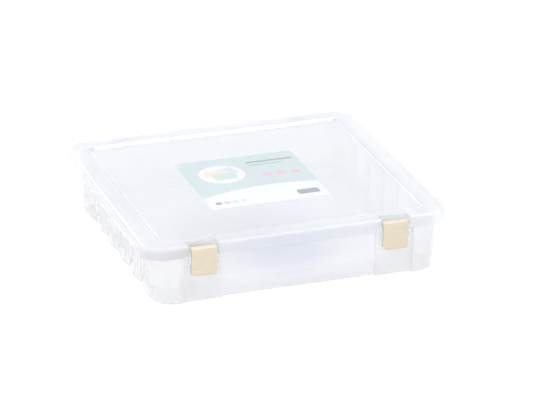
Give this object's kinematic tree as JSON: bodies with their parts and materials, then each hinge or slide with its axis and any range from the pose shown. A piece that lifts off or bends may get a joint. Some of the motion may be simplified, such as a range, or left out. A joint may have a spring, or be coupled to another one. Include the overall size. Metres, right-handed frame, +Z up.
{
  "type": "paper storage case",
  "caption": "Clear flat box for large papers, photographs and albums, with fluted side walls and a hinged lid that closes with snap latches.",
  "frame": {"origin": "centre of the closed case's footprint, on the surface it stands on", "axes": "+X to the right and -Y out of the front wall that carries the latches, +Z up through the lid"},
  "size_m": [0.357, 0.339, 0.0705],
  "materials": {
    "clear_tray": "natural clear polypropylene, slightly hazy",
    "clear_lid": "natural clear polypropylene, slightly hazy",
    "latch_plastic": "ivory moulded polypropylene, satin",
    "printed_card": "matt printed card"
  },
  "bodies": {
    "base": {"base_tray": "clear_tray"},
    "lid": {"lid": "clear_lid", "label_card": "printed_card"},
    "latch_left": {"latch_left": "latch_plastic"},
    "latch_right": {"latch_right": "latch_plastic"}
  },
  "joints": [
    {"name": "lid_hinge", "type": "hinge", "parent": "base", "child": "lid", "pos_m": [0, 0.161, 0.062], "axis": [-1, 0, 0], "range_deg": [0, 105]},
    {"name": "latch_left_hinge", "type": "hinge", "parent": "lid", "child": "latch_left", "pos_m": [-0.11125, -0.162, 0.0623], "axis": [-1, 0, 0], "range_deg": [0, 120]},
    {"name": "latch_right_hinge", "type": "hinge", "parent": "lid", "child": "latch_right", "pos_m": [0.11125, -0.162, 0.0623], "axis": [-1, 0, 0], "range_deg": [0, 120]}
  ]
}
